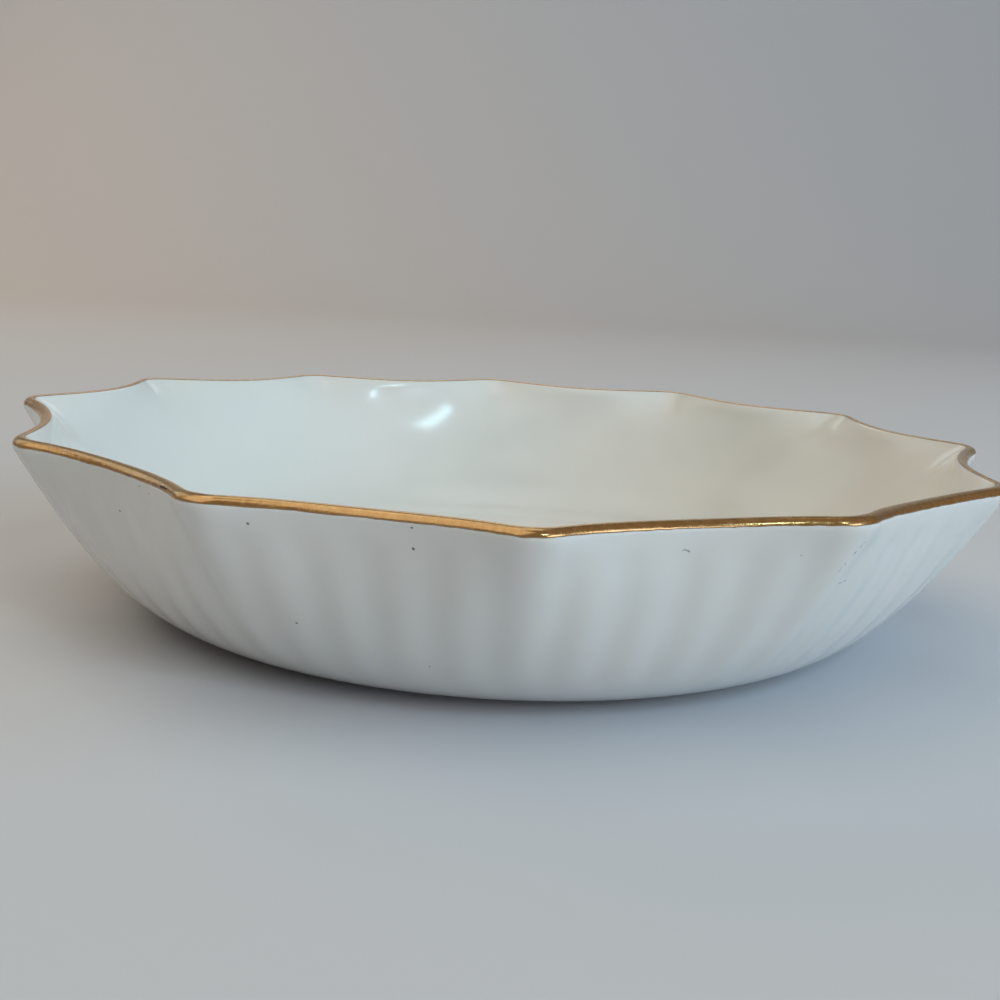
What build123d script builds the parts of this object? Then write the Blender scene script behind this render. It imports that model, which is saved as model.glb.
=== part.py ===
"""Ring dish: a small twelve-sided china dish with a fluted wall and a gilded lip.

Millimetres, +Z up. The origin is on the axis, on the surface that the dish stands on.
"""
from build123d import *
from math import atan2, cos, hypot, pi, radians, sin, sqrt, tan
import os

os.makedirs("parts", exist_ok=True)

# The rim in plan: twelve rounded corners joined by hollow sides
panels = 12
corner_radius = 57.0
side_hollow = 4.0
corner_round = 4.0

# The wall, from the level underside up to the lip
overall_height = 22.0
foot_height = 0.6
turn_radius = 37.7
wall_lean = radians(60.8)
floor_thickness = 2.1
floor_ease = 1.6
lip_thickness = 1.7

# Sections of the wall as shares of the way along its profile, close together where it bends
section_shares = (0.0, 0.18, 0.36, 0.55, 0.75, 0.93, 1.0)

# How fast the rim's outline and its crisp corners fade on the way down
outline_power = 3.0
crispness_power = 3.0
inner_corner_power = 16.0

# The flutes on the outside of the wall, and their strength at each section
flutes_per_panel = 5
flute_depth = 0.25
flute_shares = (0.0, 0.0, 0.3, 1.0, 1.0, 0.8, 0.0)

# The foot ring under the floor
foot_setback = 3.1
foot_width = 2.6
foot_taper = 0.3
foot_weld = 1.0

# The gold let into the lip, between two angles up from the level outside
gilt_thickness = 0.15
gilt_outer_edge = 0.0
gilt_inner_edge = radians(120)
lip_step = radians(30)

panel_angle = 2 * pi / panels
flute_angle = panel_angle / flutes_per_panel
floor_height = foot_height + floor_thickness
lip_round = lip_thickness / 2
lip_centre = corner_radius - lip_round
lip_height = overall_height - lip_round
middle_share = (corner_radius - side_hollow) / corner_radius

# Where the two sides of the wall meet the round of the lip
outer_meeting = wall_lean - pi / 2
inner_meeting = wall_lean + pi / 2


def rim_arcs():
    """The rim's hollow side arc, tangent to the corner's arc, and where they meet.

    Returns the side's radius, the distance of its centre from the axis, and the angle from the
    corner to the place where the two arcs meet.
    """
    half = panel_angle / 2
    corner_centre = corner_radius - corner_round
    side_middle = corner_radius - side_hollow
    across = corner_centre * cos(half)
    side_round = corner_centre**2 + side_middle**2 - 2 * side_middle * across - corner_round**2
    side_round /= 2 * (corner_round + across - side_middle)
    side_centre = side_middle + side_round
    gap_x = side_centre * cos(half) - corner_centre
    gap_y = side_centre * sin(half)
    reach_share = corner_round / hypot(gap_x, gap_y)
    meeting = atan2(gap_y * reach_share, corner_centre + gap_x * reach_share)
    return side_round, side_centre, meeting


side_round, side_centre, corner_turn = rim_arcs()


def rim_share(turn):
    """The rim's distance from the axis at an angle past a corner, as a share of the corner's."""
    off_corner = min(abs(turn), panel_angle - turn)
    if off_corner <= corner_turn:
        centre = corner_radius - corner_round
        reach = centre * cos(off_corner) + sqrt(corner_round**2 - (centre * sin(off_corner)) ** 2)
    else:
        off_middle = panel_angle / 2 - off_corner
        reach = side_centre * cos(off_middle) - sqrt(side_round**2 - (side_centre * sin(off_middle)) ** 2)
    return reach / corner_radius


def bulge(turn, crispness):
    """How far out the outline stands between a side's middle, 0, and a corner, 1."""
    crisp = (rim_share(turn) - middle_share) / (1 - middle_share)
    soft = (1 + cos(panels * turn)) / 2
    return crispness * crisp + (1 - crispness) * soft


def section(radius, height, outline=1.0, corners=1.0, crispness=1.0, depth=0.0):
    """Closed outline of the dish at one height: a corner and then the flutes of each panel.

    Outline draws the sides in, from 0, a circle, to 1, the rim. Corners is how much of that the
    corners keep out of. Depth is how far the middle of each flute is drawn in.
    """

    def place(turn, start, inset):
        kept = outline - corners * bulge(turn, crispness)
        reach = radius * (1 - kept * (1 - middle_share)) - inset
        return Vector(reach * cos(start + turn), reach * sin(start + turn), height)

    turns = [-corner_turn, corner_turn]
    turns += [flute * flute_angle for flute in range(1, flutes_per_panel)]
    turns += [panel_angle - corner_turn]
    edges = []
    for panel in range(panels):
        start = panel * panel_angle
        for first, last in zip(turns, turns[1:]):
            ends = place(first, start, 0), place(last, start, 0)
            middle = place((first + last) / 2, start, depth if first > 0 else 0)
            edges.append(Edge.make_bezier(ends[0], middle * 2 - (ends[0] + ends[1]) / 2, ends[1]))
    return Wire(edges)


def wall_sections(start_radius, start_height, meeting, corner_power, depth):
    """Sections up one side of the wall, level at its start and tangent to the lip at its end."""
    end_radius = lip_centre + lip_round * cos(meeting)
    end_height = lip_height + lip_round * sin(meeting)
    turn = end_radius - (end_height - start_height) / tan(wall_lean)
    wires = []
    for share, flute_share in zip(section_shares, flute_shares):
        rest = 1 - share
        radius = rest**2 * start_radius + 2 * rest * share * turn + share**2 * end_radius
        height = start_height + share**2 * (end_height - start_height)
        fades = share**outline_power, share**corner_power, share**crispness_power
        wires.append(section(radius, height, *fades, depth * flute_share))
    return wires


def lip_section(angle, inset=0.0):
    """Section at one angle over the rounded lip, drawn into the lip by an inset."""
    reach = lip_round - inset
    return section(lip_centre + reach * cos(angle), lip_height + reach * sin(angle))


def lip_sections(first, last):
    """Sections over the rounded lip, from one angle to another."""
    steps = max(1, round((last - first) / lip_step))
    return [lip_section(first + (last - first) * step / steps) for step in range(steps + 1)]


def skin(wires):
    """The faces of a ruled loft through closed wires."""
    return Shell.make_loft(wires, True).faces()


def closed_solid(face_groups):
    """One solid from faces that meet edge to edge."""
    return Solid(Shell([face for group in face_groups for face in group]))


def gilt_seat():
    """The hollow in the lip that the gold fills, deepest in the middle and nothing at its edges."""
    middle = (gilt_outer_edge + gilt_inner_edge) / 2
    return skin([lip_section(gilt_outer_edge), lip_section(middle, gilt_thickness), lip_section(gilt_inner_edge)])


def foot_ring():
    """The turned foot: a low ring with sloping sides, let into the floor above it."""
    outside = turn_radius - foot_setback
    inside = outside - foot_width
    profile = Polyline(
        (inside, foot_height + foot_weld),
        (inside, foot_height),
        (inside + foot_taper, 0),
        (outside - foot_taper, 0),
        (outside, foot_height),
        (outside, foot_height + foot_weld),
        close=True,
    )
    return revolve(Plane.XZ * make_face(profile), Axis.Z)


def china_body():
    """Wall, lip and floor as one closed skin, on the foot ring."""
    inside_start = turn_radius - floor_ease
    outer_wall = wall_sections(turn_radius, foot_height, outer_meeting, outline_power, flute_depth)
    inner_wall = wall_sections(inside_start, floor_height, inner_meeting, inner_corner_power, 0)
    outer_lip = lip_sections(outer_meeting, gilt_outer_edge)
    inner_lip = lip_sections(gilt_inner_edge, inner_meeting)
    sides = [skin(wires) for wires in (outer_wall, outer_lip, inner_lip, inner_wall)]
    caps = [Face(outer_wall[0]), Face(inner_wall[0])]
    return closed_solid(sides + [gilt_seat(), caps]) + foot_ring()


def gilt_band():
    """The gold over the lip, flush with the china on both sides."""
    return closed_solid([skin(lip_sections(gilt_outer_edge, gilt_inner_edge)), gilt_seat()])


export_step(china_body(), "parts/china_body.step")
export_step(gilt_band(), "parts/gilt_band.step")
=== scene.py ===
import math
import random

import bpy
import numpy as np
from mathutils import Matrix, Vector


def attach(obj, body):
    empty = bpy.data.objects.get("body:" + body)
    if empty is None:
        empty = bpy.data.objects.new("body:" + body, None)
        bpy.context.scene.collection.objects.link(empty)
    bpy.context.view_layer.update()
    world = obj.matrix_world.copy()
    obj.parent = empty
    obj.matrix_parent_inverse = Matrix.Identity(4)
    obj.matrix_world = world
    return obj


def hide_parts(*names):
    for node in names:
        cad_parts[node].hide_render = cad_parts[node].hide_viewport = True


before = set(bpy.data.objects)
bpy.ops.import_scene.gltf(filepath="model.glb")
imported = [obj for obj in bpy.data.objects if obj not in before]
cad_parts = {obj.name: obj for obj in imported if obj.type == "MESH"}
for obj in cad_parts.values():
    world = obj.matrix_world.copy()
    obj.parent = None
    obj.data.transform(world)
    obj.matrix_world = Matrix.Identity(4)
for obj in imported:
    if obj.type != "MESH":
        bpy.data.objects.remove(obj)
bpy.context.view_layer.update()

MM = 0.001
ROOT = "root"

# The dish, in millimetres, with the same values as its solids
panels = 12
corner_radius = 57.0
side_hollow = 4.0
corner_round = 4.0
overall_height = 22.0
foot_height = 0.6
turn_radius = 37.7
wall_lean = math.radians(60.8)
floor_thickness = 2.1
floor_ease = 1.6
lip_thickness = 1.7
outline_power = 3.0
crispness_power = 3.0
flutes_per_panel = 5
flute_depth = 0.25
foot_setback = 3.1
foot_width = 2.6
foot_taper = 0.3
gilt_inner_edge = math.radians(120)

# How fast the corners fade on the way down inside: a little slower than in the solids
inner_corner_power = 13.0

# Shares of the way up the wall where the flutes start, are whole, begin to fade and are gone
flute_start_share = 0.28
flute_whole_share = 0.58
flute_fade_share = 0.915
flute_gone_share = 0.995

# The gold as it is worn: its lower edge stands above the lip's widest line, wanders, and rises
# about one place, given in degrees round from +X with a half width in degrees
gilt_outer_edge = math.radians(7.5)
gilt_wander = math.radians(4.5)
gilt_rise = (-70, 16, math.radians(6))

# The wander is a sum of waves: their number, the fewest and most that one has round the dish, how
# fast they weaken with that count, and the seed that they are drawn from
wander_waves = 40
wander_counts = (20, 260)
wander_fade = 0.35
wander_seed = 7

# How far the lip's china, and the gold's own back, lie under the face of the gold
gilt_skin = 0.02
gilt_back = 0.03

# Softness of the foot's edges where the glaze rounds them
foot_round = 0.2
foot_cove = 0.25

# Kiln warp of the rim: where its front is, the front and side parts of one, two and three waves
# round the dish, how far the whole rim sank, and how much more the middles of the sides did
warp_front = math.radians(-92.745)
warp_waves = ((0.24, 0.02), (-0.4, 0.05), (-0.094, 0.16))
warp_sink = 0.63
side_drop = 0.19

# Small lifts and dips of the rim: place round from +X and half width in degrees, and height
warp_spots = ((-58, 8, 0.2), (-33, 10, -0.28))

# The one side that came out of the kiln flatter, counted round from +X, and the hollow it lost
flat_side = 10
flat_share = 0.3

panel_angle = 2 * math.pi / panels
floor_height = foot_height + floor_thickness
lip_round = lip_thickness / 2
lip_centre = corner_radius - lip_round
lip_height = overall_height - lip_round
middle_share = (corner_radius - side_hollow) / corner_radius
outer_meeting = wall_lean - math.pi / 2
inner_meeting = wall_lean + math.pi / 2

# Fineness of the meshes: columns for each side and how much they crowd at the corners, rows up
# each surface, and steps round a small arc and round the backdrop's sweep
columns_per_panel = 50
corner_crowding = 0.09
outer_wall_rows = 66
lip_rows = 20
inner_wall_rows = 41
gold_rows = 16
arc_steps = 5
sweep_steps = 16

# Radii of the rings that fill the flat underside and the flat floor, and how far inside the turn
# of the wall the last ring of the underside stands
underside_rings = (4.0, 12.0, 20.0, 27.0)
floor_rings = (33.0, 28.0, 20.0, 12.0, 4.0)
underside_margin = 1.0

# Pinholes in the glaze: place and half width
pinholes = (
    ((-37.3, -35.9, 16.5), 0.12),
    ((-23.5, -49.4, 18.8), 0.13),
    ((-9.8, -52.4, 19.8), 0.11),
    ((-9.6, -51.9, 17.9), 0.13),
    ((-19.7, -45.2, 9.2), 0.15),
    ((-7.9, -45.7, 5.9), 0.11),
    ((23.4, -49.0, 18.2), 0.12),
    ((-34.4, -40.7, 19.9), 0.13),
    ((-33.3, -42.0, 19.4), 0.1),
)

# Fine scratches in the glaze: both ends and half width
scratches = (
    ((12.3, -50.9, 18.5), (13.0, -50.9, 18.7), 0.07),
    ((13.0, -50.9, 18.7), (13.4, -50.7, 18.4), 0.09),
    ((29.1, -48.1, 19.4), (28.3, -47.9, 18.3), 0.11),
    ((28.3, -47.9, 18.3), (26.9, -47.1, 16.0), 0.05),
    ((29.1, -44.2, 15.1), (28.0, -45.4, 15.0), 0.06),
    ((37.8, -36.9, 20.0), (37.3, -36.9, 19.1), 0.09),
)

# Chips and flecks in the gold: both ends and half width
gold_flecks = (
    ((-31.7, -44.6, 20.7), (-30.9, -45.8, 20.75), 0.11),
    ((-29.0, -48.5, 20.8), (-29.0, -48.5, 20.8), 0.13),
    ((-28.6, -48.8, 20.9), (-28.6, -48.8, 20.9), 0.09),
    ((-35.9, -38.9, 20.5), (-35.5, -39.5, 20.4), 0.12),
)

# How far the edges of those marks stray, from one side to the other
glaze_raggedness = 0.35
gold_raggedness = 0.3

# Shares of the gold's width over which it thins and darkens, at its lower and its inner edge
thin_lower_share = 0.09
thin_inner_share = 0.07

# Colours in linear light, with an opacity of 1
glaze_tints = ((0.74, 0.755, 0.735, 1), (0.80, 0.80, 0.775, 1))
pinhole_colour = (0.16, 0.15, 0.145, 1)
scratch_colour = (0.34, 0.335, 0.33, 1)
gold_tints = ((0.70, 0.42, 0.17, 1), (0.86, 0.55, 0.24, 1))
thin_gold_colour = (0.30, 0.19, 0.10, 1)
fleck_colour = (0.07, 0.05, 0.03, 1)
floor_colour = (0.60, 0.615, 0.66, 1)
room_light = (0.215, 0.177, 0.146, 1)
pale_wall = (0.36, 0.365, 0.37, 1)

# The floor and the backdrop that it curves up into, in metres: half the width, how far back the
# curve starts, its radius, and the height of the top
floor_half = 1.6
floor_back = 0.55
floor_sweep = 0.35
backdrop_top = 2.0

# The camera: its distance from the axis and its height, in millimetres, how far round from -Y it
# stands, and the yaw, pitch and roll of its aim, in radians
camera_distance = 159.16
camera_height = 43.46
camera_turn = 0.0479
yaw, pitch, roll = -0.0023, 0.1945, -0.0558

# Its focal length and picture width in pixels, its sensor in millimetres, and the nearest and
# farthest that it sees, in metres
focal_pixels = 1338.6
picture_pixels = 1000
sensor_width = 36.0
nearest, farthest = 0.01, 20.0

# The lights, in metres, and the place that they are aimed at. Each has a name, degrees round from
# +X and up, a distance, a width and height, watts of red, green and blue, and what it lights
AIM = Vector((0.0, 0.0, 0.015))
lights = (
    ("window", (-42, 16), 0.9, (0.5, 0.35), (1.88, 2.16, 2.31), "matt"),
    ("window_side", (-8, 22), 0.9, (0.5, 0.4), (1.04, 1.97, 2.62), "matt"),
    ("ceiling", (-150, 72), 0.8, (0.9, 0.9), (2.45, 2.62, 2.31), "matt"),
    ("card", (-150, 50), 0.85, (0.9, 0.9), (1.35, 1.30, 1.25), "shiny"),
    ("card_left", (150, 30), 0.9, (0.45, 0.55), (0.31, 0.36, 0.44), "shiny"),
    ("card_top", (112, 73), 0.85, (0.5, 0.45), (0.42, 0.44, 0.46), "shiny"),
    ("card_far", (90, 34), 0.5, (0.22, 0.18), (0.08, 0.085, 0.095), "shiny"),
    ("card_window", (-42, 16), 0.88, (0.5, 0.35), (0.90, 1.00, 1.30), "shiny"),
    ("back_left", (130, 35), 0.9, (0.6, 0.5), (1.51, 0.96, 0.47), "matt"),
    ("fill", (-63, 40), 0.9, (0.25, 0.2), (0.44, 0.44, 0.52), "matt"),
    ("lamp", (-62.6, 40.8), 0.76, (0.066, 0.06), (0.125, 0.205, 0.235), "both"),
)

# How far lights are turned about their aim, in degrees, where they are turned at all
light_rolls = {"lamp": 45}


def smooth(x):
    """A soft step from 0 to 1."""
    x = np.clip(x, 0.0, 1.0)
    return x * x * (3 - 2 * x)


def rim_reach(turn):
    """Distance from the axis to the rim at an angle from the nearest corner: tangent arcs."""
    half = panel_angle / 2
    off_corner = np.abs((turn + half) % panel_angle - half)
    corner_centre = corner_radius - corner_round
    side_middle = corner_radius - side_hollow
    across = corner_centre * math.cos(half)
    side_round = corner_centre**2 + side_middle**2 - 2 * side_middle * across - corner_round**2
    side_round /= 2 * (corner_round + across - side_middle)
    side_centre = side_middle + side_round
    gap_x = side_centre * math.cos(half) - corner_centre
    gap_y = side_centre * math.sin(half)
    reach = corner_round / math.hypot(gap_x, gap_y)
    meeting = math.atan2(gap_y * reach, corner_centre + gap_x * reach)
    corner = np.sqrt(np.maximum(corner_round**2 - (corner_centre * np.sin(off_corner)) ** 2, 0))
    off_middle = half - off_corner
    side = np.sqrt(np.maximum(side_round**2 - (side_centre * np.sin(off_middle)) ** 2, 0))
    on_corner = corner_centre * np.cos(off_corner) + corner
    on_side = side_centre * np.cos(off_middle) - side
    return np.where(off_corner <= meeting, on_corner, on_side)


def column_angles():
    """Angles of the mesh's columns from the corner on +X, closer together at the corners."""
    share = np.arange(columns_per_panel) / columns_per_panel
    share = share - corner_crowding * np.sin(2 * math.pi * share)
    return np.concatenate([(panel + share) * panel_angle for panel in range(panels)])


angles = column_angles()

# How far out the outline stands between a side's middle, 0, and a corner, 1: crisp at the rim,
# softened to a plain wave low on the wall
crisp_bulge = (rim_reach(angles) / corner_radius - middle_share) / (1 - middle_share)
soft_bulge = (1 + np.cos(panels * angles)) / 2
flatness = np.where(np.floor(angles / panel_angle) == flat_side, flat_share, 0.0)


def hump(place, width):
    """A smooth hump at each column: 1 at a place, fading over a width, both in degrees."""
    off = (np.degrees(angles) - place + 180) % 360 - 180
    return np.exp(-((off / width) ** 2))


def warp(height):
    """How far the warp lifts a ring at one height, at each column: below 0 where it sinks."""
    turn = angles - warp_front
    wave = np.zeros(len(angles))
    for count, (front, side) in enumerate(warp_waves, 1):
        wave += front * np.cos(count * turn) + side * np.sin(count * turn)
    for place, width, lift in warp_spots:
        wave += lift * hump(place, width)
    sides = side_drop * (1 - np.cos(panels * angles)) / 2
    share = max(0.0, (height - foot_height) / (overall_height - foot_height))
    return (wave - warp_sink - sides) * share


def ring(radius, height, outline=1.0, corners=1.0, crispness=1.0, depth=0.0):
    """One ring of points round the dish, in metres, by the same rule as the solids' sections."""
    bulge = crispness * crisp_bulge + (1 - crispness) * soft_bulge
    bulge = bulge + flatness * (1 - bulge)
    wave = (1 - np.cos(panels * flutes_per_panel * angles)) / 2
    reach = radius * (1 - (outline - corners * bulge) * (1 - middle_share)) - depth * wave
    z = np.broadcast_to(height + warp(float(np.mean(height))), reach.shape)
    return np.column_stack([reach * np.cos(angles), reach * np.sin(angles), z]) * MM


def flute_strength(share):
    """The flutes' share of their full depth, at a share of the way up the wall."""
    rise = smooth((share - flute_start_share) / (flute_whole_share - flute_start_share))
    fall = smooth((flute_gone_share - share) / (flute_gone_share - flute_fade_share))
    return float(rise * fall)


def wall_rings(start_radius, start_height, meeting, corner_power, depth, count):
    """Rings up one side of the wall, level at its start and tangent to the lip at its end."""
    end_radius = lip_centre + lip_round * math.cos(meeting)
    end_height = lip_height + lip_round * math.sin(meeting)
    turn = end_radius - (end_height - start_height) / math.tan(wall_lean)
    rings = []
    for step in range(count + 1):
        share = step / count
        rest = 1 - share
        radius = rest**2 * start_radius + 2 * rest * share * turn + share**2 * end_radius
        height = start_height + share**2 * (end_height - start_height)
        fades = share**outline_power, share**corner_power, share**crispness_power
        rings.append(ring(radius, height, *fades, depth * flute_strength(share)))
    return rings


def lip_ring(angle, inset):
    """Ring over the rounded lip, drawn in by an inset, at one angle or at one for each column."""
    reach = lip_round - inset
    radius = lip_centre + reach * np.cos(angle)
    height = lip_height + reach * np.sin(angle)
    return ring(radius, height)


def lip_rings(first, last, count, inset):
    """Rings over the rounded lip, from one angle to another."""
    return [lip_ring(first + (last - first) * step / count, inset) for step in range(count + 1)]


def flat_rings(profile):
    """Plain round rings, one for each radius and height of a profile."""
    return [ring(radius, height, 0.0, 0.0) for radius, height in profile]


def round_corner(before, corner, after, radius):
    """Points of an arc that rounds a corner of a profile."""
    before, corner, after = (np.array(p, float) for p in (before, corner, after))
    u = (before - corner) / np.linalg.norm(before - corner)
    v = (after - corner) / np.linalg.norm(after - corner)
    half = math.acos(float(np.clip(u @ v, -1, 1))) / 2
    centre = corner + (u + v) / np.linalg.norm(u + v) * radius / math.sin(half)
    first = corner + u * radius / math.tan(half) - centre
    last = corner + v * radius / math.tan(half) - centre
    points = []
    for step in range(arc_steps + 1):
        mix = first * (arc_steps - step) + last * step
        points.append(centre + mix / np.linalg.norm(mix) * radius)
    return points


def foot_profile():
    """The underside from the axis, over the foot ring, to where the wall turns up."""
    outside = turn_radius - foot_setback
    inside = outside - foot_width
    corners = [
        ((inside, foot_height), foot_cove),
        ((inside + foot_taper, 0), foot_round),
        ((outside - foot_taper, 0), foot_round),
        ((outside, foot_height), foot_cove),
    ]
    path = [(0, foot_height)] + [corner for corner, radius in corners] + [(turn_radius, foot_height)]
    points = [(radius, foot_height) for radius in underside_rings]
    for index, (corner, radius) in enumerate(corners):
        points += round_corner(path[index], corner, path[index + 2], radius)
    points += [(turn_radius - underside_margin, foot_height)]
    return points


def band_faces(low, high):
    """Quads between two rings of points, each given by its first point's number."""
    count = len(angles)
    faces = []
    for column in range(count):
        after = (column + 1) % count
        faces.append((low + column, low + after, high + after, high + column))
    return faces


def cap_faces(start, tip, upward):
    """Triangles between a ring of points and a tip on the axis."""
    count = len(angles)
    faces = []
    for column in range(count):
        first, after = start + column, start + (column + 1) % count
        faces.append((first, after, tip) if upward else (first, tip, after))
    return faces


def mesh_object(name, rings, tips=()):
    """A mesh of quads between rings: closed by a tip below and one above, or joined in a loop."""
    count = len(angles)
    last = (len(rings) - 1) * count
    verts = [tuple(point) for points in rings for point in points]
    faces = []
    for start in range(0, last, count):
        faces += band_faces(start, start + count)
    if tips:
        faces += cap_faces(0, len(verts), False)
        faces += cap_faces(last, len(verts) + 1, True)
        verts += tips
    else:
        faces += band_faces(last, 0)
    mesh = bpy.data.meshes.new(name)
    mesh.from_pydata(verts, [], faces)
    mesh.validate()
    mesh.polygons.foreach_set("use_smooth", [True] * len(mesh.polygons))
    piece = bpy.data.objects.new(name, mesh)
    bpy.context.scene.collection.objects.link(piece)
    return piece


def china_mesh():
    """The underside, the outside, the lip under the gold, the inside and the floor."""
    under = flat_rings(foot_profile())
    outside = (turn_radius, foot_height, outer_meeting, outline_power, flute_depth)
    outer = wall_rings(*outside, outer_wall_rows)
    lip = lip_rings(outer_meeting, inner_meeting, lip_rows, gilt_skin)
    inside = (turn_radius - floor_ease, floor_height, inner_meeting, inner_corner_power, 0.0)
    inner = wall_rings(*inside, inner_wall_rows)
    floor = flat_rings([(radius, floor_height) for radius in floor_rings])
    rings = under + outer + lip[1:-1] + inner[::-1] + floor
    return mesh_object("glazed_china", rings, [(0, 0, foot_height * MM), (0, 0, floor_height * MM)])


def gold_edge_wander():
    """How far the gold's lower edge strays round the lip at each column, in radians."""
    wander = np.zeros(len(angles))
    generator = random.Random(wander_seed)
    for wave in range(wander_waves):
        count = generator.randint(*wander_counts)
        phase = generator.uniform(0, 2 * math.pi)
        wander += math.cos(phase) * np.cos(count * angles) / count**wander_fade
        wander += math.sin(phase) * np.sin(count * angles) / count**wander_fade
    wander *= gilt_wander / np.abs(wander).max()
    place, width, rise = gilt_rise
    return wander + rise * hump(place, width)


def gold_mesh():
    """The gold as a thin closed band: over the lip, and back under its own face."""
    wander = gold_edge_wander()
    shares = [step / gold_rows for step in range(gold_rows + 1)]
    rings = []
    for inset, across in ((0.0, shares), (gilt_back, shares[::-1])):
        for share in across:
            angle = gilt_outer_edge + wander * (1 - share) ** 2
            rings.append(lip_ring(angle + (gilt_inner_edge - gilt_outer_edge) * share, inset))
    gold = mesh_object("gold_line", rings)
    add_band_map(gold, shares + shares[::-1])
    return gold


def add_band_map(gold, across):
    """A map with the way round the dish as U and the way across the gold as V."""
    count = len(angles)
    band = []
    for low, high in zip(across, across[1:] + across[:1]):
        for column in range(count):
            first, last = column / count, (column + 1) / count
            band += [first, low, last, low, last, high, first, high]
    gold.data.uv_layers.new(name="band").data.foreach_set("uv", band)


class Nodes:
    """Short calls for building one material's node tree."""

    def __init__(self, name):
        self.material = bpy.data.materials.new(name)
        self.material.use_nodes = True
        self.tree = self.material.node_tree
        self.tree.nodes.clear()

    def add(self, kind, inputs=(), **settings):
        node = self.tree.nodes.new(kind)
        for key, value in settings.items():
            setattr(node, key, value)
        for socket, value in dict(inputs).items():
            if isinstance(value, bpy.types.NodeSocket):
                self.tree.links.new(value, node.inputs[socket])
            else:
                node.inputs[socket].default_value = value
        return node

    def noise(self, place, scale, detail, roughness=0.5, output="Fac"):
        inputs = {"Vector": place, "Scale": scale, "Detail": detail, "Roughness": roughness}
        return self.add("ShaderNodeTexNoise", inputs).outputs[output]

    def math(self, operation, first, second):
        inputs = {0: first, 1: second}
        return self.add("ShaderNodeMath", inputs, operation=operation).outputs[0]

    def vector(self, operation, first, second):
        inputs = {0: first, 1: second}
        return self.add("ShaderNodeVectorMath", inputs, operation=operation).outputs[0]

    def scaled(self, vector, factor):
        inputs = {0: vector, "Scale": factor}
        return self.add("ShaderNodeVectorMath", inputs, operation="SCALE").outputs[0]

    def dot(self, first, second):
        inputs = {0: first, 1: second}
        return self.add("ShaderNodeVectorMath", inputs, operation="DOT_PRODUCT").outputs["Value"]

    def length(self, vector):
        return self.add("ShaderNodeVectorMath", {0: vector}, operation="LENGTH").outputs["Value"]

    def blend(self, factor, first, second):
        inputs = {"Factor": factor, 6: first, 7: second}
        return self.add("ShaderNodeMix", inputs, data_type="RGBA").outputs[2]

    def remap(self, value, from_range, to_range):
        inputs = {"Value": value, "From Min": from_range[0], "From Max": from_range[1]}
        inputs.update({"To Min": to_range[0], "To Max": to_range[1]})
        return self.add("ShaderNodeMapRange", inputs).outputs[0]

    def ramp(self, value, positions, colours):
        ramp = self.add("ShaderNodeValToRGB", {"Fac": value})
        for element, position, colour in zip(ramp.color_ramp.elements, positions, colours):
            element.position = position
            element.color = colour
        return ramp.outputs["Color"]

    def bump(self, height, strength, distance):
        inputs = {"Height": height, "Strength": strength, "Distance": distance}
        return self.add("ShaderNodeBump", inputs).outputs[0]

    def finish(self, inputs):
        shader = self.add("ShaderNodeBsdfPrincipled", inputs)
        self.add("ShaderNodeOutputMaterial", {"Surface": shader.outputs[0]})
        return self.material


def ragged_place(n, place, scale, raggedness):
    """A place shifted to and fro by a fine noise, in all by a raggedness in millimetres."""
    noise = n.noise(place, scale, 1.0, output="Color")
    shift = n.vector("SUBTRACT", noise, (0.5, 0.5, 0.5))
    return n.vector("ADD", place, n.scaled(shift, raggedness * MM))


def near_line(n, place, start, end, width):
    """1 within a width, in millimetres, of the straight line between two points, else 0."""
    start, end = Vector(start) * MM, Vector(end) * MM
    along = end - start
    from_start = n.vector("SUBTRACT", place, start)
    if along.length > 0:
        reach = n.dot(from_start, along / along.length_squared)
        share = n.add("ShaderNodeClamp", {"Value": reach}).outputs[0]
        from_start = n.vector("SUBTRACT", from_start, n.scaled(along, share))
    return n.math("LESS_THAN", n.length(from_start), width * MM)


def any_of(n, marks):
    """The greatest of several marks."""
    total = marks[0]
    for mark in marks[1:]:
        total = n.math("MAXIMUM", total, mark)
    return total


def china_material():
    """Glazed white china, faintly clouded, with pinholes and fine scratches."""
    n = Nodes("glazed_china")
    place = n.add("ShaderNodeTexCoord").outputs["Object"]
    tint = n.ramp(n.noise(place, 45.0, 3.0, 0.55), (0.3, 0.7), glaze_tints)
    near = ragged_place(n, place, 2600.0, glaze_raggedness)
    pits = any_of(n, [near_line(n, near, spot, spot, width) for spot, width in pinholes])
    lines = any_of(n, [near_line(n, near, start, end, width) for start, end, width in scratches])
    spotted = n.blend(pits, tint, pinhole_colour)
    ripple = n.noise(place, 260.0, 2.0)
    smear = n.noise(place, 90.0, 4.0, 0.6)
    return n.finish({
        "Base Color": n.blend(lines, spotted, scratch_colour),
        "Roughness": n.remap(smear, (0.0, 1.0), (0.13, 0.22)),
        "Normal": n.bump(ripple, 0.035, 0.0004),
        "IOR": 1.5,
        "Subsurface Weight": 0.12,
        "Subsurface Radius": (1.0, 0.85, 0.7),
        "Subsurface Scale": 0.0015,
        "Coat Weight": 0.25,
        "Coat Roughness": 0.1,
    })


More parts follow.
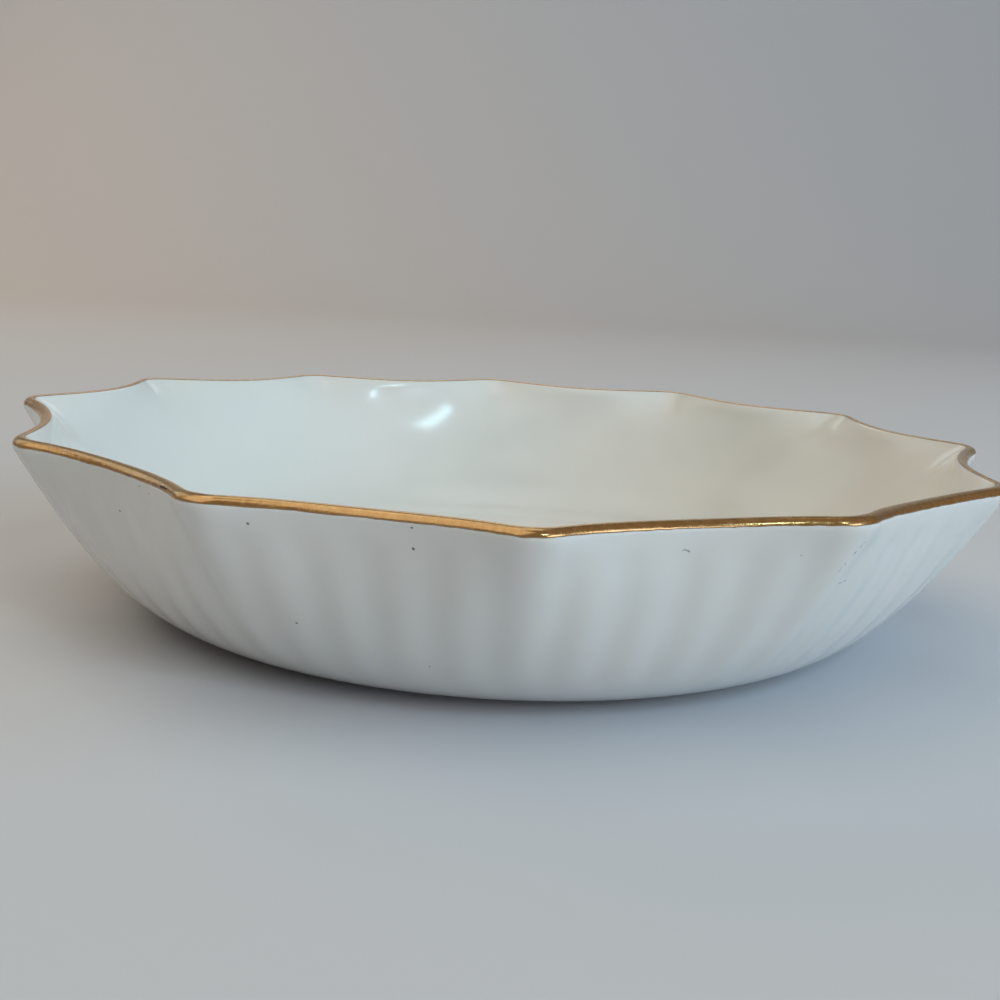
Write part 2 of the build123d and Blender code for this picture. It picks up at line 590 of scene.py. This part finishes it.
def gold_material():
    """Brushed-on fired gold, thin and brown at its edges, with chips and dark specks."""
    n = Nodes("fired_gold")
    coordinates = n.add("ShaderNodeTexCoord").outputs
    place = coordinates["Object"]
    across = n.add("ShaderNodeSeparateXYZ", {0: coordinates["UV"]}).outputs["Y"]
    brush = n.noise(place, 1500.0, 4.0, 0.65)
    tone = n.ramp(brush, (0.3, 0.68), gold_tints)
    lower = n.remap(across, (0.0, thin_lower_share), (0.0, 1.0))
    inner = n.remap(across, (1.0, 1 - thin_inner_share), (0.0, 1.0))
    edged = n.blend(n.math("MULTIPLY", lower, inner), thin_gold_colour, tone)
    near = ragged_place(n, place, 3200.0, gold_raggedness)
    chips = any_of(n, [near_line(n, near, start, end, width) for start, end, width in gold_flecks])
    specks = n.math("GREATER_THAN", n.noise(place, 2400.0, 2.0, 0.6), 0.75)
    marks = any_of(n, [chips, specks])
    wear = n.noise(place, 1100.0, 3.0, 0.6)
    return n.finish({
        "Base Color": n.blend(marks, edged, fleck_colour),
        "Metallic": n.math("SUBTRACT", 1.0, marks),
        "Roughness": n.remap(wear, (0.35, 0.65), (0.12, 0.3)),
        "Normal": n.bump(brush, 0.2, 0.0001),
    })


def floor_material():
    """Plain pale paint."""
    return Nodes("floor_paint").finish({"Base Color": floor_colour, "Roughness": 0.75})


def add_dish():
    """The china and the gold line, each in place of its solid."""
    china = china_mesh()
    china.data.materials.append(china_material())
    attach(china, ROOT)
    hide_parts("china_body")
    gold = gold_mesh()
    gold.data.materials.append(gold_material())
    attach(gold, ROOT)
    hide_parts("gilt_band")


def add_floor():
    """A plain floor that curves up into a backdrop well behind the dish."""
    path = [(-floor_half, 0.0), (floor_back, 0.0)]
    for step in range(1, sweep_steps + 1):
        turn = step / sweep_steps * math.pi / 2
        path.append((floor_back + floor_sweep * math.sin(turn), floor_sweep * (1 - math.cos(turn))))
    path.append((floor_back + floor_sweep, backdrop_top))
    verts = [(x, y, z) for y, z in path for x in (-floor_half, floor_half)]
    faces = [(2 * i, 2 * i + 1, 2 * i + 3, 2 * i + 2) for i in range(len(path) - 1)]
    mesh = bpy.data.meshes.new("floor")
    mesh.from_pydata(verts, [], faces)
    mesh.polygons.foreach_set("use_smooth", [True] * len(mesh.polygons))
    floor = bpy.data.objects.new("floor", mesh)
    bpy.context.scene.collection.objects.link(floor)
    floor.data.materials.append(floor_material())


def add_camera():
    """The photograph's view: just above the lip, close to the dish, tipped a little to one side."""
    level = math.cos(pitch)
    forward = Vector((math.sin(yaw) * level, math.cos(yaw) * level, -math.sin(pitch)))
    right = Vector((math.cos(yaw), -math.sin(yaw), 0.0))
    down = forward.cross(right)
    side = math.cos(roll) * right + math.sin(roll) * down
    fall = -math.sin(roll) * right + math.cos(roll) * down
    turn = Matrix.Rotation(-camera_turn, 3, "Z")
    place = turn @ Vector((0.0, -camera_distance, camera_height))
    data = bpy.data.cameras.new("camera")
    data.sensor_width = sensor_width
    data.lens = focal_pixels / picture_pixels * sensor_width
    data.clip_start = nearest
    data.clip_end = farthest
    camera = bpy.data.objects.new("camera", data)
    bpy.context.scene.collection.objects.link(camera)
    rotation = Matrix((turn @ side, turn @ -fall, turn @ -forward)).transposed()
    camera.matrix_world = Matrix.Translation(place * MM) @ rotation.to_4x4()
    bpy.context.scene.camera = camera


def area_light(name, toward, distance, size, energy, surfaces):
    """A soft rectangular light that the camera can't see, for matt or shiny surfaces or both."""
    turn, rise = (math.radians(angle) for angle in toward)
    level = math.cos(rise)
    place = Vector((math.cos(turn) * level, math.sin(turn) * level, math.sin(rise))) * distance
    data = bpy.data.lights.new(name, "AREA")
    data.shape = "RECTANGLE"
    data.size, data.size_y = size
    data.energy = max(energy)
    data.color = [part / max(energy) for part in energy]
    light = bpy.data.objects.new(name, data)
    light.location = place + AIM
    light.rotation_euler = (-place).to_track_quat("-Z", "Y").to_euler()
    light.rotation_euler.rotate_axis("Z", math.radians(light_rolls.get(name, 0)))
    light.visible_camera = False
    light.visible_glossy = surfaces != "matt"
    light.visible_diffuse = surfaces != "shiny"
    bpy.context.scene.collection.objects.link(light)


def add_lights():
    """All the lights of the table."""
    for light in lights:
        area_light(*light)


def add_room():
    """Even light from all round, which the camera itself sees as a pale wall."""
    world = bpy.data.worlds.new("room")
    world.use_nodes = True
    tree = world.node_tree
    path = tree.nodes.new("ShaderNodeLightPath")
    seen = tree.nodes.new("ShaderNodeMix")
    seen.data_type = "RGBA"
    seen.inputs[6].default_value = room_light
    seen.inputs[7].default_value = pale_wall
    tree.links.new(path.outputs["Is Camera Ray"], seen.inputs["Factor"])
    tree.links.new(seen.outputs[2], tree.nodes["Background"].inputs["Color"])
    bpy.context.scene.world = world


add_camera()
add_dish()
add_floor()
add_lights()
add_room()
bpy.context.scene.view_settings.view_transform = "Standard"
